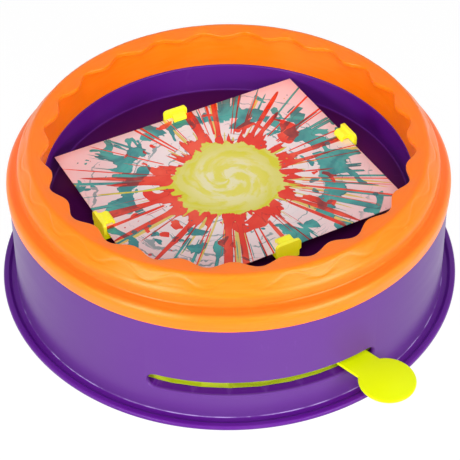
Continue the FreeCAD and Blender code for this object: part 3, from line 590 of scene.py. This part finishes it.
# Painted shade: the bowl is darker and redder, standing in for the shade under the guard's lip and the card.
painted_bowl_shade = (-1.0, 100.3, 1.5, seen(72, 12, 80), False)
# Painted shade: a darker purple from the deck in to the slot's sill, standing in for the shade in the slot.
painted_sill_shade = (104.0, 119.0, 0.4, seen(80, 13, 126), False)
purple = moulded("purple_plastic", seen(90, 20, 132), seen(146, 98, 184), roughness=0.33, gloss=0.34, worn=0.1,
                 bands=[painted_wall_sheen, painted_foot_highlight, painted_bowl_shade, painted_sill_shade])
fitted(housing, "base", "purple_plastic", purple, "housing")


# ---------------------------------------------------------------- lever
# One lime moulding. The toothed sector and its curved rim stay inside, the rim closing the
# slot from behind; a flat neck slants out through the slot and ends in a round thumb paddle.

LEVER_LOW = 19.8
LEVER_HIGH = 21.7
NECK = math.radians(46.4)
NECK_ROOT = 103.2
NECK_HALF = 17.3 / 2
PADDLE = 14.8
PADDLE_REACH = 139.1
PADDLE_TURN = math.radians(34.66)
PADDLE_STEPS = 72
SECTOR_REACH = 115.2


def pulled(push):
    """Fill the loop that was drawn last and pull it by push, in millimetres; stays in edit mode."""
    bpy.ops.mesh.edge_face_add()
    bpy.ops.mesh.extrude_region_move(TRANSFORM_OT_translate={"value": [part * MM for part in push]})


# The neck is drawn along X and then swung into its place.
paddle_along = PADDLE_REACH * math.cos(PADDLE_TURN - NECK)
paddle_side = PADDLE_REACH * math.sin(PADDLE_TURN - NECK)
meet = math.asin(NECK_HALF / PADDLE)
rim = [math.pi + meet + (math.tau - 2 * meet) * k / PADDLE_STEPS for k in range(PADDLE_STEPS + 1)]
flat = [(paddle_along + PADDLE * math.cos(a), paddle_side + PADDLE * math.sin(a)) for a in rim]
flat += [(NECK_ROOT, paddle_side + NECK_HALF), (NECK_ROOT, paddle_side - NECK_HALF)]
paddle = drawn("thumb_paddle", [Vector((x, y, LEVER_LOW)) for x, y in flat])
pulled((0, 0, LEVER_HIGH - LEVER_LOW))
bpy.ops.mesh.select_mode(type="FACE")
bpy.ops.mesh.select_all(action="SELECT")
bpy.ops.mesh.normals_make_consistent(inside=False)
bpy.ops.object.mode_set(mode="OBJECT")
for face in paddle.data.polygons:
    face.select = abs(face.normal.z) > 0.9
bpy.ops.object.mode_set(mode="EDIT")
bpy.ops.mesh.region_to_loop()
bpy.ops.mesh.bevel(offset=0.85 * MM, segments=4)
leave_closed(40)
paddle.data.transform(Matrix.Rotation(NECK - math.pi / 2, 4, "Z"))

sector = taken_from("lever", "lever_moulding")
cut(sector, disc(SECTOR_REACH, 10.0, 30.0), "INTERSECT")
cut(sector, paddle, "UNION")
# Painted shade: the sector and rim inside the wall are a dark olive, standing in for the wall's shade over them in
# the slot.
painted_sector_shade = (-1.0, 116.6, 0.6, seen(112, 128, 0), False)
# The lime's glow is painted light that lifts its shaded sides.
lime = moulded("lime_plastic", seen(220, 234, 0), seen(244, 252, 90), roughness=0.32, gloss=0.25, milky=0.3,
               reach=(1.5, 1.5, 0.2), painted_glow=0.05, bands=[painted_sector_shade])
fitted(sector, "lever", "lime_plastic", lime, "lever")


# ---------------------------------------------------------------- splash guard
# The orange ring that drops over the deck: a hollow soft-gloss moulding with a rolled foot, a
# waist, a shoulder, a slope with a wavy step, and a thin lip whose edge waves over the bowl.

GUARD_FOOT = 62.45
WAVES = 24
LIP_WAVE = 2.15
LIP_EDGE = 97.75
LIP_ROOT = 101.4
LIP_ABOVE = 82
LIP_EASE = 2.9
STEP_WAVE = 1.5
STEP_INNER = 105.9
STEP_OUTER = 111.3
STEP_DEPTH = 1.2
WAVE_START = math.radians(1.1)
STEPS_PER_WAVE = 20
WAVE_WELD = MM / 100
SLOPE = [(103.0, 87.1), (104.6, 87.9), (105.9, 87.95), (106.9, 87.45), (108.0, 85.9), (111.4, 81.7), (113.4, 79.6)]


def slope_at(radius):
    """Height of the slope between the crown and the shoulder."""
    for (r0, z0), (r1, z1) in zip(SLOPE, SLOPE[1:]):
        if radius <= r1:
            return z0 + (z1 - z0) * (radius - r0) / (r1 - r0)
    return SLOPE[-1][1]


# Rows across the slope, and how far the wavy step drops below it at each.
step_rows = [(105.6, 0), (106.1, 0), (106.6, 0), (107.2, 0), (107.7, 0), (108.1, 0), (108.35, 0.03), (108.5, 0.12)]
step_rows += [(108.65, 0.24), (108.8, 0.33), (109.0, 0.37), (109.4, 0.33), (110.0, 0.2), (110.6, 0.07), (111.2, 0)]
guard = turned("guard_wave", [
    (119.9, GUARD_FOOT, 0.5),
    (120.15, 71.4, 5.4),
    (113.6, 73.9, 1.6),
    (113.15, 80.1, 7.0),
    *[(r, slope_at(r) - drop, 0) for r, drop in reversed(step_rows)],
    (104.8, 87.95, 1.5),
    (LIP_ROOT, 87.35, 4.0),
    (LIP_EDGE, 86.75, 0.8),
    (LIP_EDGE, 84.0, 0.8),
    (101.0, 83.7, 0.9),
    (101.0, GUARD_FOOT, 0.5),
    (103.0, GUARD_FOOT, 0.5),
    (103.0, 83.4, 1.5),
    (105.2, 85.9, 1.5),
    (106.4, 84.8, 1.0),
    (111.2, 79.0, 1.5),
    (111.6, 73.0, 2.0),
    (118.1, 69.6, 2.0),
    (117.9, GUARD_FOOT, 0.5),
], steps=STEPS_PER_WAVE, start=WAVE_START, angle=math.tau / WAVES, arc=7)

# One wave's length of the ring loses its two end faces, takes the wave and goes round the ring.
bpy.ops.object.mode_set(mode="EDIT")
bpy.ops.mesh.select_all(action="DESELECT")
bpy.ops.mesh.select_mode(type="FACE")
bpy.ops.object.mode_set(mode="OBJECT")
for face in guard.data.polygons:
    face.select = len(face.vertices) > 4
bpy.ops.object.mode_set(mode="EDIT")
bpy.ops.mesh.delete(type="ONLY_FACE")
bpy.ops.object.mode_set(mode="OBJECT")
for corner in guard.data.vertices:
    radius = math.hypot(corner.co.x, corner.co.y) / MM
    height = corner.co.z / MM
    turn = math.atan2(corner.co.y, corner.co.x)
    wave = math.cos(WAVES * (turn - WAVE_START))
    moved = radius
    if radius < LIP_ROOT and height > LIP_ABOVE:
        moved = radius - LIP_WAVE * wave * min(1.0, (LIP_ROOT - radius) / LIP_EASE)
    elif STEP_INNER < radius < STEP_OUTER and height > slope_at(radius) - STEP_DEPTH:
        share = min((radius - STEP_INNER) / 2.0, 1.0, (STEP_OUTER - radius) / 1.8)
        moved = radius - STEP_WAVE * wave * share
        height += slope_at(moved) - slope_at(radius)
    corner.co = (moved * MM * math.cos(turn), moved * MM * math.sin(turn), height * MM)
bpy.ops.object.mode_set(mode="EDIT")
bpy.ops.mesh.select_all(action="SELECT")
bpy.ops.mesh.spin(steps=WAVES - 1, dupli=True, angle=math.tau * (WAVES - 1) / WAVES,
                  center=(0, 0, 0), axis=(0, 0, 1))
bpy.ops.mesh.select_all(action="SELECT")
bpy.ops.mesh.remove_doubles(threshold=WAVE_WELD)
leave_closed(40)
guard.name = guard.data.name = "splash_ring"
# Painted shade: the waist between the shoulder and the rolled foot is a deeper, darker orange, standing in for the
# shade in its hollow.
painted_waist_shade = (112.4, 119.2, 1.7, seen(255, 94, 0), False)
# The orange's glow is painted light that lifts its shaded sides.
orange = moulded("orange_plastic", seen(255, 118, 0), seen(255, 168, 80), roughness=0.31, gloss=0.55, milky=0.3,
                 painted_glow=0.15, bands=[painted_waist_shade], swirl=0.25)
fitted(guard, "splash_guard", "orange_plastic", orange, "splash_guard")


# ---------------------------------------------------------------- turntable
# The platform under the card: a disc and four hollow arms on a hub, moulded in a dark purple
# that is nearly black in the bowl's shade.

turntable_plastic = moulded("turntable_plastic", seen(52, 18, 60), seen(96, 60, 104), roughness=0.42, grain=0.4)
inside(turntable_plastic, "turntable")


# ---------------------------------------------------------------- paint card
# A 6 by 5 inch sheet of thin coated card. Runny paint dropped on it while it turned has
# crept outwards in rings, rays and drips, and dried in a slightly raised glossy film.

CARD_TURN = math.radians(28.2)
CARD_LENGTH = 152.4
CARD_WIDTH = 127.0
CARD_LOW = 57.8
CARD_TOP = 58.35

bpy.ops.object.select_all(action="DESELECT")
bpy.ops.mesh.primitive_grid_add(x_subdivisions=24, y_subdivisions=20, size=1)
card = bpy.context.object
card.name = card.data.name = "painted_card"
card.data.transform(Matrix.Diagonal((CARD_LENGTH * MM, CARD_WIDTH * MM, 1, 1)))
bpy.ops.object.mode_set(mode="EDIT")
bpy.ops.mesh.select_all(action="SELECT")
bpy.ops.mesh.extrude_region_move(TRANSFORM_OT_translate={"value": (0, 0, (CARD_TOP - CARD_LOW) * MM)})
bpy.ops.mesh.select_all(action="SELECT")
bpy.ops.mesh.normals_make_consistent(inside=False)
bpy.ops.mesh.select_all(action="DESELECT")
bpy.ops.mesh.edges_select_sharp(sharpness=math.radians(60))
bpy.ops.mesh.bevel(offset=0.12 * MM, segments=2)
leave_closed(50)
shift(card, z=CARD_LOW, turn=CARD_TURN)


def spin_paint():
    """Card with rings, arms, drips and splashes of thinned paint, flung from the middle.

    Distances on the card are in tenths of a metre.
    """
    f = Finish("spin_painted_card")
    at = f.laid((10, 10, 10), -CARD_TURN)
    split = f.node("ShaderNodeSeparateXYZ")
    f.feed(split.inputs[0], at)
    x, y = split.outputs[0], split.outputs[1]
    even = f.far_out(at)
    wobble = f.work("MULTIPLY", f.work("SUBTRACT", f.cloud(3.6, 4, at=at, rough=0.6), 0.5), 0.24)
    out = f.work("ADD", even, wobble)
    turn = f.work("ARCTAN2", y, x)

    def about(count, lag, start, reach, detail=1.0):
        """Noise laid round the middle: even along each spoke, trailing behind the spin by lag."""
        angle = f.work("ADD", turn, f.work("ADD", f.work("MULTIPLY", even, lag), start))
        where = f.point(f.work("MULTIPLY", f.work("COSINE", angle), count),
                        f.work("MULTIPLY", f.work("SINE", angle), count),
                        f.work("MULTIPLY", out, reach))
        return f.cloud(1.0, detail, at=where)

    def both(*masks):
        """Where all of the masks are."""
        result = masks[0]
        for mask in masks[1:]:
            result = f.work("MULTIPLY", result, mask)
        return result

    def either(*masks):
        """Where any of the masks is."""
        result = masks[0]
        for mask in masks[1:]:
            result = f.work("MAXIMUM", result, mask)
        return result

    def zone(start, full, fading, gone):
        """The two masks that keep paint between two distances from the middle."""
        return f.fade(even, start, full), f.fade(even, fading, gone, 1.0, 0.0)

    def flung(spokes, inner, root, tip, base, neck, end):
        """Paint that left a ring in arms: broad at the root, thin past the neck, gone by the end."""
        limit = f.work("ADD", f.fade(out, root, tip, base, neck), f.fade(out, tip, end, 0.0, 0.09))
        height = f.work("SUBTRACT", spokes, limit)
        wet = both(f.fade(height, 0.0, 0.008), f.fade(out, inner - 0.008, inner + 0.008))
        rim = both(wet, f.fade(height, 0.008, 0.035, 1.0, 0.0))
        return wet, rim

    def clean(mask):
        """A wet edge: paint or bare card, and hardly anything between."""
        return f.fade(mask, 0.42, 0.52)

    card_shade = f.over(f.fade(even, 0.35, 0.95), seen(252, 242, 244), seen(250, 216, 221))
    stains = f.work("MULTIPLY", f.fade(f.cloud(2.4, 3, at=at), 0.4, 0.8), 0.6)
    colour = f.over(stains, card_shade, seen(251, 222, 227))

    # fine rings drawn out by the first drops
    hair = both(f.fade(about(1.5, 0.0, 0.6, 60.0, 2.0), 0.61, 0.64), *zone(0.3, 0.34, 0.74, 0.8))
    colour = f.over(f.work("MULTIPLY", hair, 0.7), colour, seen(66, 132, 140))

    # yellow streaks
    streaks, _ = flung(about(14.0, 0.12, 3.9, 0.3), 0.2, 0.3, 0.5, 0.54, 0.63, 1.1)
    colour = f.over(f.work("MULTIPLY", streaks, 0.85), colour, seen(232, 206, 62))

    # teal ring, broken in places, with drips that run outwards from it
    broken = f.fade(about(1.6, 0.0, 1.9, 3.0, 2.0), 0.42, 0.47)
    ring, ring_rim = flung(about(12.0, 0.05, 1.3, 0.45, 1.5), 0.52, 0.57, 0.66, 0.36, 0.59, 1.05)
    blots = both(f.fade(f.cloud(6.0, 2.5, at=at, curl=0.8), 0.585, 0.595), *zone(0.42, 0.46, 0.8, 0.9))
    drips, _ = flung(about(24.0, 0.03, 8.1, 0.2), 0.5, 0.55, 0.7, 0.6, 0.635, 1.15)
    teal = either(clean(both(ring, broken)), clean(blots), drips)
    teal_shade = f.over(f.fade(f.cloud(5.0, 4, at=at, curl=1.5), 0.38, 0.66), seen(0, 134, 140), seen(56, 178, 172))
    teal_shade = f.over(f.work("MULTIPLY", ring_rim, 0.7), teal_shade, seen(0, 74, 84))
    colour = f.over(f.work("MULTIPLY", teal, 0.96), colour, teal_shade)

    # the red burst: webbed arms at the middle that thin out into drips
    red, red_rim = flung(about(9.5, 0.05, 5.2, 0.5, 1.5), 0.22, 0.3, 0.45, 0.37, 0.6, 1.0)
    patches = both(f.fade(f.cloud(7.0, 2, at=at, curl=0.5), 0.6, 0.61), *zone(0.3, 0.34, 0.56, 0.66))
    rays, _ = flung(about(27.0, 0.03, 6.4, 0.2), 0.4, 0.5, 0.6, 0.605, 0.64, 1.2)
    red = either(red, clean(patches), rays)
    red_shade = f.over(f.fade(f.cloud(5.0, 3, at=at), 0.38, 0.7), seen(240, 48, 26), seen(252, 92, 66))
    red_shade = f.over(f.work("MULTIPLY", red_rim, 0.7), red_shade, seen(186, 22, 26))
    mixed = f.work("MULTIPLY", both(teal, red), f.fade(f.cloud(6.0, 3, at=at), 0.4, 0.6, 0.05, 0.75))
    colour = f.over(red, colour, red_shade)
    colour = f.over(mixed, colour, seen(70, 34, 48))

    # yellow middle, watery, with a pale swirl
    swirl = about(1.1, 9.0, 0.0, 13.0, 4.0)
    pool, pool_rim = flung(about(6.0, 0.1, 2.2, 0.7, 2.0), -1.0, 0.26, 0.34, 0.2, 0.62, 0.5)
    pale = f.work("MULTIPLY", f.fade(swirl, 0.42, 0.6), f.fade(even, 0.1, 0.27, 0.9, 0.3))
    pool_shade = f.over(f.fade(even, 0.17, 0.27), seen(236, 230, 96), seen(226, 222, 44))
    pool_shade = f.over(pale, pool_shade, seen(246, 242, 200))
    pool_shade = f.over(f.work("MULTIPLY", pool_rim, 0.5), pool_shade, seen(206, 180, 30))
    colour = f.over(pool, colour, pool_shade)

    # splashes, large and small
    wet = either(streaks, teal, red, pool)
    for scale, least, size, shades in ((11.0, 0.8, 0.2, (0.45, 0.75)), (30.0, 0.72, 0.18, (0.5, 0.6))):
        dots = f.node("ShaderNodeTexVoronoi", feature="F1")
        f.feed(dots.inputs["Vector"], at)
        dots.inputs["Scale"].default_value = scale
        parts = f.node("ShaderNodeSeparateColor")
        f.feed(parts.inputs[0], dots.outputs["Color"])
        broad = f.work("MULTIPLY", f.fade(parts.outputs[0], least, 1.0), size)
        splash = both(f.work("LESS_THAN", dots.outputs["Distance"], broad), f.fade(even, 0.3, 0.36))
        teal_ones = f.work("GREATER_THAN", parts.outputs[1], shades[0])
        yellow_ones = f.work("GREATER_THAN", parts.outputs[2], shades[1])
        splash_shade = f.over(teal_ones, seen(210, 42, 56), seen(24, 104, 114))
        splash_shade = f.over(yellow_ones, splash_shade, seen(226, 190, 54))
        colour = f.over(f.work("MULTIPLY", splash, 0.85), colour, splash_shade)
        wet = either(wet, splash)

    film = f.work("ADD", wet, f.work("MULTIPLY", f.cloud(9.0, 3, at=at), 0.5))
    film = f.work("ADD", film, f.work("MULTIPLY", either(red_rim, ring_rim, pool_rim), 0.6))
    fibre = f.relief(f.cloud(700, 3), 0.02, 0.4)
    f.set(base_color=colour, roughness=f.fade(wet, 0.0, 1.0, 0.55, 0.24), specular_ior_level=0.4)
    f.set(normal=f.relief(film, 0.14, 0.6, under=fibre))
    return f.material


fitted(card, "turntable", "card", spin_paint(), "paint_card")


# ---------------------------------------------------------------- card clips
# Four yellow clips, one moulding each: a tongue that slides in the turntable's arm, a plate
# that stands up past the card's edge, and a rounded hood that hooks over the card.

HOOD_WIDTH = 7.8
PLATE_START = 0.3
PLATE_THICKNESS = 1.8
TONGUE = (21.4, 12.0, 2.0)
TONGUE_MIDDLE = (-9.3, 0, -5.35)
CLIP_ARC = math.radians(15)


def clip_model():
    """One clip with its card edge at the origin, reaching outwards along X from the card's top."""
    hood = drawn("hood", [Vector((p.x, -HOOD_WIDTH / 2, p.y)) for p in rounded([
        (1.2, 0.3, 0.2),
        (1.2, 4.8, 0.3),
        (0.1, 4.8, 0.6),
        (-1.2, 4.2, 1.6),
        (-4.3, 4.4, 1.8),
        (-6.0, 3.0, 1.1),
        (-6.0, 0.9, 0.3),
        (-4.9, 0.9, 0.3),
        (-4.5, 2.3, 0.7),
        (0.3, 2.3, 0.4),
        (0.3, 0.3, 0.0),
    ], CLIP_ARC)])
    pulled((0, HOOD_WIDTH, 0))
    leave_closed(60)
    plate = drawn("plate", [Vector((PLATE_START, p.x, p.y)) for p in rounded([
        (-6.2, -6.35, 0.6),
        (6.2, -6.35, 0.6),
        (6.2, -2.2, 0.4),
        (7.25, -1.6, 0.4),
        (7.25, 4.8, 2.0),
        (-7.25, 4.8, 2.0),
        (-7.25, -1.6, 0.4),
        (-6.2, -2.2, 0.4),
    ], CLIP_ARC)])
    pulled((PLATE_THICKNESS, 0, 0))
    leave_closed(40)
    bpy.ops.mesh.primitive_cube_add(size=1)
    tongue = bpy.context.object
    stretch = Matrix.Diagonal((*[side * MM for side in TONGUE], 1))
    tongue.data.transform(Matrix.Translation([place * MM for place in TONGUE_MIDDLE]) @ stretch)
    bpy.ops.object.mode_set(mode="EDIT")
    bpy.ops.mesh.select_all(action="SELECT")
    bpy.ops.mesh.bevel(offset=0.35 * MM, segments=2)
    leave_closed(40)
    cut(hood, plate, "UNION")
    cut(hood, tongue, "UNION")
    return hood


# The yellow's glow is painted light that lifts the clips' shaded faces.
yellow = moulded("yellow_plastic", seen(244, 244, 0), seen(252, 248, 120), roughness=0.26, gloss=0.5, milky=0.3,
                 reach=(2, 1.6, 0.2), painted_glow=0.24)
clip = clip_model()
sides = [("right", 0, CARD_LENGTH), ("back", 90, CARD_WIDTH), ("left", 180, CARD_LENGTH), ("front", 270, CARD_WIDTH)]
for side, turn, span in sides:
    one = copied(clip, f"clip_{side}")
    shift(one, x=span / 2, z=CARD_TOP)
    shift(one, turn=CARD_TURN + math.radians(turn))
    fitted(one, f"card_clip_{side}", "yellow_plastic", yellow, f"card_clip_{side}")
bpy.data.objects.remove(clip)


# ---------------------------------------------------------------- table top, lamps and camera
# A white sheet under the machine, soft lamps left and right of the camera, and one above it.

TABLE_RADIUS = 6
TABLE_TOP = -0.0002
TABLE_GLOW = 1.1
TABLE_BLEND = 0.82
ROOM_LIGHT = 0.22

bpy.ops.object.select_all(action="DESELECT")
bpy.ops.mesh.primitive_circle_add(vertices=96, radius=TABLE_RADIUS, fill_type="NGON", location=(0, 0, TABLE_TOP))
table = bpy.context.object
table.name = "white_table"
white = Finish("white_table")
rays = white.node("ShaderNodeLightPath").outputs
mirrored = white.work("MAXIMUM", rays["Is Glossy Ray"], rays["Is Transmission Ray"])
shown = white.work("MAXIMUM", rays["Is Camera Ray"], mirrored)
glow = white.node("ShaderNodeEmission")
glow.inputs["Strength"].default_value = TABLE_GLOW
blend = white.node("ShaderNodeMixShader")
white.set(base_color=seen(236, 236, 236), roughness=0.9, specular_ior_level=0.1)
white.feed(blend.inputs[0], white.work("MULTIPLY", shown, TABLE_BLEND))
white.feed(blend.inputs[1], white.shader.outputs[0])
white.feed(blend.inputs[2], glow.outputs[0])
below = white.node("ShaderNodeMixShader")
white.feed(below.inputs[0], white.node("ShaderNodeNewGeometry").outputs["Backfacing"])
white.feed(below.inputs[1], blend.outputs[0])
white.feed(below.inputs[2], white.node("ShaderNodeBsdfTransparent").outputs[0])
white.feed(white.tree.nodes["Material Output"].inputs["Surface"], below.outputs[0])
table.data.materials.append(white.material)

world = bpy.data.worlds.new("studio")
bpy.context.scene.world = world
world.use_nodes = True
sky = world.node_tree
rays = sky.nodes.new("ShaderNodeLightPath").outputs
shown = rays["Is Camera Ray"]
for other in ("Is Glossy Ray", "Is Transmission Ray"):
    larger = sky.nodes.new("ShaderNodeMath")
    larger.operation = "MAXIMUM"
    sky.links.new(shown, larger.inputs[0])
    sky.links.new(rays[other], larger.inputs[1])
    shown = larger.outputs[0]
strength = sky.nodes.new("ShaderNodeMapRange")
sky.links.new(shown, strength.inputs[0])
strength.inputs["To Min"].default_value = ROOM_LIGHT
strength.inputs["To Max"].default_value = 1.0
sky.links.new(strength.outputs[0], sky.nodes["Background"].inputs["Strength"])
sky.nodes["Background"].inputs["Color"].default_value = (1, 1, 1, 1)


LAMP_AIM = Vector((0, 0, 0.05))


def soft_lamp(name, place, width, height, power, shine=True):
    """A soft box, facing the machine, that shows as a shine or not."""
    data = bpy.data.lights.new(name, "AREA")
    data.shape = "RECTANGLE"
    data.size, data.size_y = width, height
    data.energy = power
    lamp = bpy.data.objects.new(name, data)
    bpy.context.scene.collection.objects.link(lamp)
    lamp.location = place
    lamp.visible_glossy = shine
    lamp.rotation_euler = (LAMP_AIM - Vector(place)).to_track_quat("-Z", "Y").to_euler()


soft_lamp("left_lamp", (-0.62, -0.86, 0.38), width=0.42, height=0.48, power=6.9)
soft_lamp("right_lamp", (0.73, -0.78, 0.36), width=0.54, height=0.48, power=7.2)
soft_lamp("top_lamp", (0.0, -0.92, 1.1), width=0.7, height=0.7, power=9.9, shine=False)

# The camera's focal length and middle are in steps of which its frame is 460 across.
TILT = 0.7393
ROLL = -0.0098
DISTANCE = 0.778644
AIM_HEIGHT = 20.16
SENSOR = 36
FRAME = 460
FOCAL = 1374.21
MIDDLE = 229.083

forward = Vector((0, math.cos(TILT), -math.sin(TILT)))
level = Vector((1, 0, 0))
upward = Vector((0, math.sin(TILT), math.cos(TILT)))
right = level * math.cos(ROLL) + upward * math.sin(ROLL)
up = upward * math.cos(ROLL) - level * math.sin(ROLL)
view = bpy.data.cameras.new("camera")
view.sensor_width = SENSOR
view.lens = SENSOR * FOCAL / FRAME
view.shift_x = (FRAME / 2 - MIDDLE) / FRAME
camera = bpy.data.objects.new("camera", view)
bpy.context.scene.collection.objects.link(camera)
place = Matrix.Translation(Vector((0, 0, AIM_HEIGHT * MM)) - forward * DISTANCE)
camera.matrix_world = place @ Matrix((right, up, -forward)).transposed().to_4x4()
bpy.context.scene.camera = camera
bpy.context.scene.view_settings.view_transform = "Standard"
